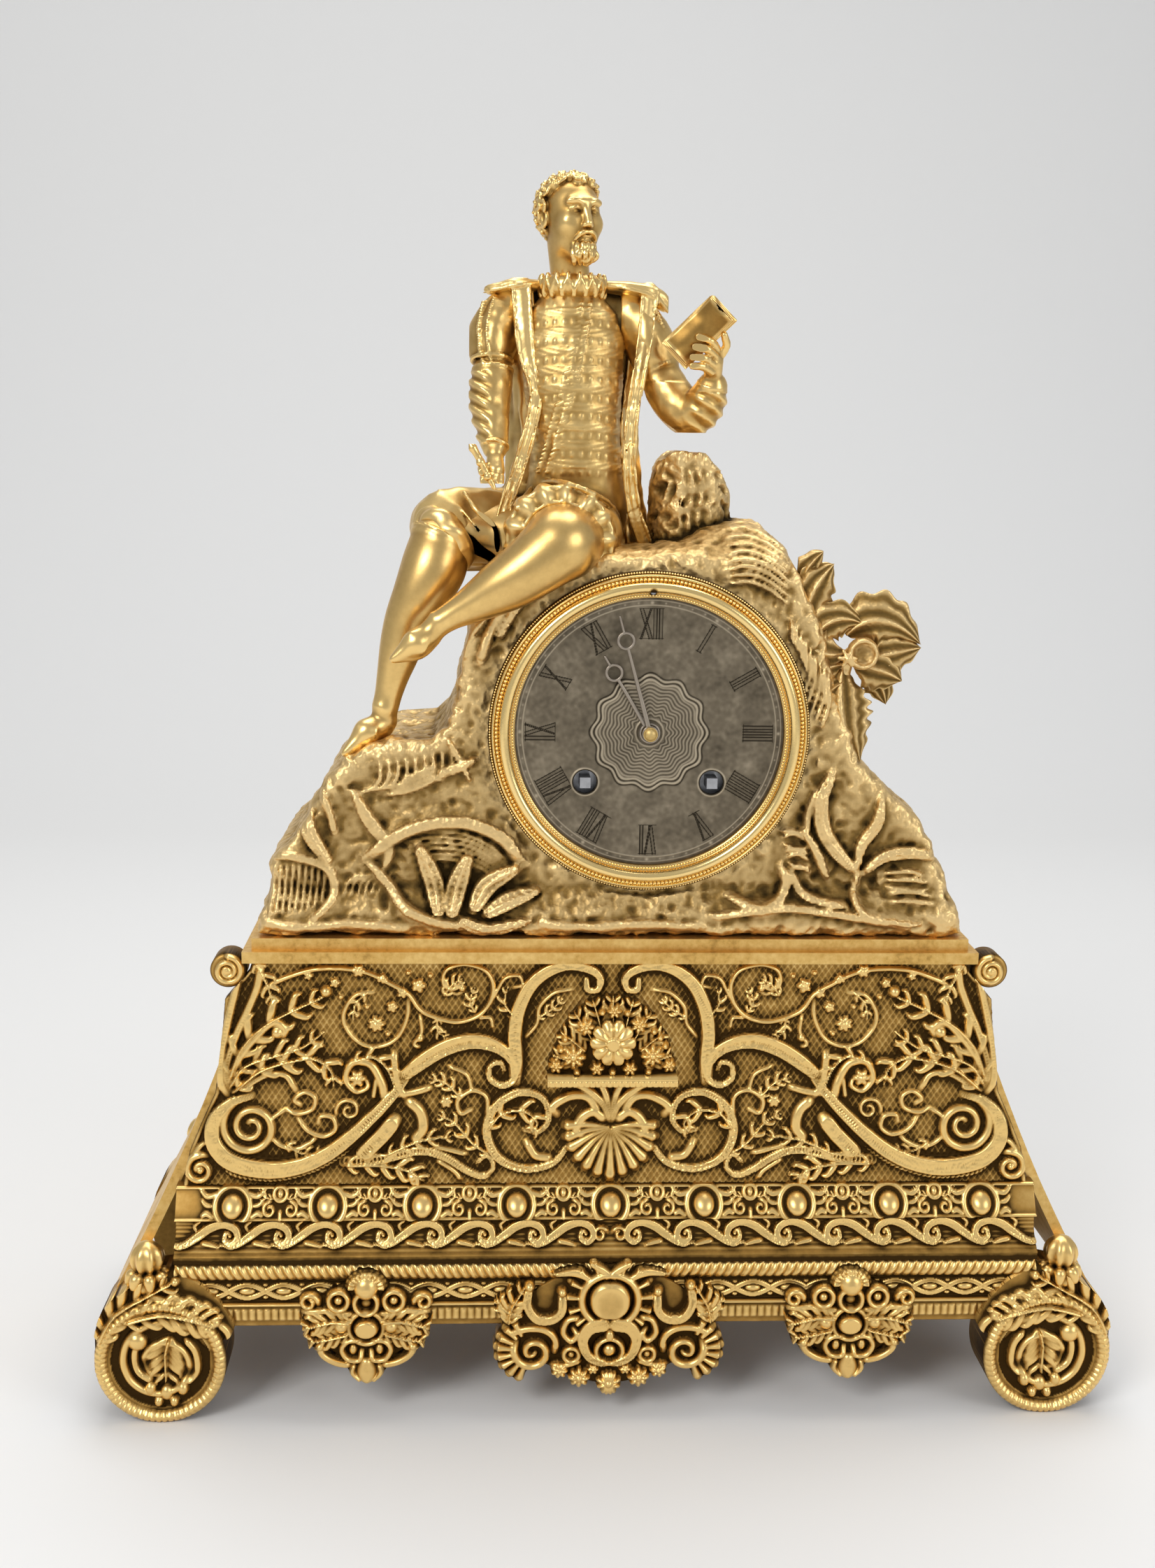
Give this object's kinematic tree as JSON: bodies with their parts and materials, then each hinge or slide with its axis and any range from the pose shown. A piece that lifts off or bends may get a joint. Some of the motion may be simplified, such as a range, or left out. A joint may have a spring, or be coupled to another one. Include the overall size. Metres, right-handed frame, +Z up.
{
  "type": "figural mantel clock",
  "caption": "Gilt bronze mantel clock with a seated reading figure on a rock that holds the round dial, on an ornamented flared base with scroll feet.",
  "frame": {"origin": "middle of the footprint, on the surface that the feet stand on", "axes": "+Z up; the dial faces -Y; +X to the right of someone who faces the dial"},
  "size_m": [0.354, 0.13, 0.425],
  "materials": {
    "gilt": "fire-gilt bronze, worn, with darker recesses",
    "gilt_rock": "matte stippled gilt bronze",
    "dull_brass": "plain lacquered brass",
    "dial_metal": "tarnished silvered and engraved",
    "hand_steel": "darkened steel",
    "brass": "brushed brass",
    "steel": "polished steel",
    "bell_metal": "pale bell metal",
    "silk": "silk thread"
  },
  "bodies": {
    "case": {"apron_center_mount": "gilt", "apron_side_mounts": "gilt", "bell": "bell_metal", "bell_stand": "brass", "bezel": "gilt", "book": "gilt", "case_screws": "steel", "corner_leaves": "gilt", "dial": "dial_metal", "feet": "gilt", "figure_gown": "gilt", "figure_head": "gilt", "figure_left_arm": "gilt", "figure_left_leg": "gilt", "figure_right_arm": "gilt", "figure_right_leg": "gilt", "figure_ruff": "gilt", "figure_torso": "gilt", "flower_basket": "gilt", "flower_spray": "gilt", "front_apron_rail": "gilt", "front_movement_plate": "brass", "front_panel": "gilt", "front_plinth_moulding": "gilt", "movement_straps": "steel", "pen": "gilt", "plate_pillars": "brass", "rear_apron_rail": "dull_brass", "rear_movement_plate": "brass", "rear_panel": "dull_brass", "rear_plinth_moulding": "dull_brass", "rock_back_plate": "dull_brass", "rock_case": "gilt_rock", "side_panels": "gilt", "suspension_cock": "brass", "top_plate": "gilt"},
    "minute": {"center_wheel": "brass", "minute_hand": "hand_steel", "hand_collet": "brass"},
    "hour": {"hour_wheel": "brass", "hour_hand": "hand_steel"},
    "minute_wheel": {"minute_wheel": "brass"},
    "second_wheel": {"second_wheel": "brass"},
    "going_barrel": {"going_barrel": "brass"},
    "third_wheel": {"third_wheel": "brass"},
    "escape_wheel": {"escape_wheel": "brass"},
    "anchor": {"anchor": "steel"},
    "pendulum": {"pendulum": "brass", "suspension_silk": "silk"},
    "going_winding_arbor": {"going_winding_arbor": "steel"},
    "strike_winding_arbor": {"strike_winding_arbor": "steel"},
    "regulator_arbor": {"regulator_arbor": "steel"},
    "strike_barrel": {"strike_barrel": "brass"},
    "strike_wheel": {"strike_wheel": "brass"},
    "pin_wheel": {"pin_wheel": "brass"},
    "fly": {"fly": "brass"},
    "hammer": {"hammer": "steel"},
    "going_click": {"going_click": "steel"},
    "strike_click": {"strike_click": "steel"},
    "rear_door": {"rear_door": "dull_brass"}
  },
  "joints": [
    {"name": "minute_spin", "type": "hinge", "parent": "case", "child": "minute", "pos_m": [0.011, -0.0449, 0.239], "axis": [0, 1, 0], "continuous": true},
    {"name": "hour_spin", "type": "hinge", "parent": "case", "child": "hour", "pos_m": [0.011, -0.0432, 0.239], "axis": [0, 1, 0], "continuous": true},
    {"name": "minute_wheel_spin", "type": "hinge", "parent": "case", "child": "minute_wheel", "pos_m": [0.017, -0.0355, 0.24939], "axis": [0, 1, 0], "continuous": true},
    {"name": "second_wheel_spin", "type": "hinge", "parent": "case", "child": "second_wheel", "pos_m": [0.02838, -0.016, 0.24106], "axis": [0, 1, 0], "continuous": true},
    {"name": "going_barrel_spin", "type": "hinge", "parent": "case", "child": "going_barrel", "pos_m": [0.0325, -0.0295, 0.222], "axis": [0, 1, 0], "continuous": true},
    {"name": "third_wheel_spin", "type": "hinge", "parent": "case", "child": "third_wheel", "pos_m": [0.00035, -0.0271, 0.25301], "axis": [0, 1, 0], "continuous": true},
    {"name": "escape_wheel_spin", "type": "hinge", "parent": "case", "child": "escape_wheel", "pos_m": [0.011, -0.0196, 0.266], "axis": [0, 1, 0], "continuous": true},
    {"name": "pendulum_swing", "type": "hinge", "parent": "case", "child": "pendulum", "pos_m": [0.011, -0.0006, 0.2785], "axis": [0, 1, 0], "range_deg": [-4, 4]},
    {"name": "anchor_rock", "type": "hinge", "parent": "case", "child": "anchor", "pos_m": [0.011, -0.0195, 0.2785], "axis": [0, 1, 0], "range_deg": [-4, 4]},
    {"name": "going_winding", "type": "hinge", "parent": "case", "child": "going_winding_arbor", "pos_m": [0.0325, -0.04, 0.222], "axis": [0, 1, 0], "continuous": true},
    {"name": "strike_winding", "type": "hinge", "parent": "case", "child": "strike_winding_arbor", "pos_m": [-0.0105, -0.04, 0.222], "axis": [0, 1, 0], "continuous": true},
    {"name": "regulator_turn", "type": "hinge", "parent": "case", "child": "regulator_arbor", "pos_m": [0.011, -0.044, 0.2865], "axis": [0, 1, 0], "continuous": true},
    {"name": "strike_wheel_spin", "type": "hinge", "parent": "case", "child": "strike_wheel", "pos_m": [-0.01555, -0.016, 0.24084], "axis": [0, 1, 0], "continuous": true},
    {"name": "strike_barrel_spin", "type": "hinge", "parent": "case", "child": "strike_barrel", "pos_m": [-0.0105, -0.0295, 0.222], "axis": [0, 1, 0], "continuous": true},
    {"name": "pin_wheel_spin", "type": "hinge", "parent": "case", "child": "pin_wheel", "pos_m": [-0.01685, -0.0245, 0.25578], "axis": [0, 1, 0], "continuous": true},
    {"name": "fly_spin", "type": "hinge", "parent": "case", "child": "fly", "pos_m": [-0.01085, -0.0165, 0.26617], "axis": [0, 1, 0], "continuous": true},
    {"name": "hammer_swing", "type": "hinge", "parent": "case", "child": "hammer", "pos_m": [-0.0295, -0.0055, 0.2525], "axis": [0, 1, 0], "range_deg": [0, 10], "stiffness_Nm_per_rad": 0.0005},
    {"name": "going_click_lift", "type": "hinge", "parent": "case", "child": "going_click", "pos_m": [0.03548, -0.035, 0.23311], "axis": [0, -1, 0], "range_deg": [0, 12], "stiffness_Nm_per_rad": 0.0002},
    {"name": "strike_click_lift", "type": "hinge", "parent": "case", "child": "strike_click", "pos_m": [-0.01348, -0.035, 0.23311], "axis": [0, 1, 0], "range_deg": [0, 12], "stiffness_Nm_per_rad": 0.0002},
    {"name": "rear_door_swing", "type": "hinge", "parent": "case", "child": "rear_door", "pos_m": [0.0625, 0.0445, 0.239], "axis": [0, 0, -1], "range_deg": [0, 110]}
  ],
  "couplings": [
    {"joint": "hour_spin", "follows": "minute_spin", "ratio": 0.083333},
    {"joint": "minute_wheel_spin", "follows": "minute_spin", "ratio": -0.33333},
    {"joint": "second_wheel_spin", "follows": "minute_spin", "ratio": -0.16667},
    {"joint": "going_barrel_spin", "follows": "minute_spin", "ratio": 0.030303},
    {"joint": "third_wheel_spin", "follows": "minute_spin", "ratio": -10},
    {"joint": "escape_wheel_spin", "follows": "minute_spin", "ratio": 110},
    {"joint": "anchor_rock", "follows": "pendulum_swing", "ratio": 1},
    {"joint": "strike_barrel_spin", "follows": "strike_wheel_spin", "ratio": -0.18182},
    {"joint": "pin_wheel_spin", "follows": "strike_wheel_spin", "ratio": -6.5},
    {"joint": "fly_spin", "follows": "strike_wheel_spin", "ratio": 32.5}
  ]
}
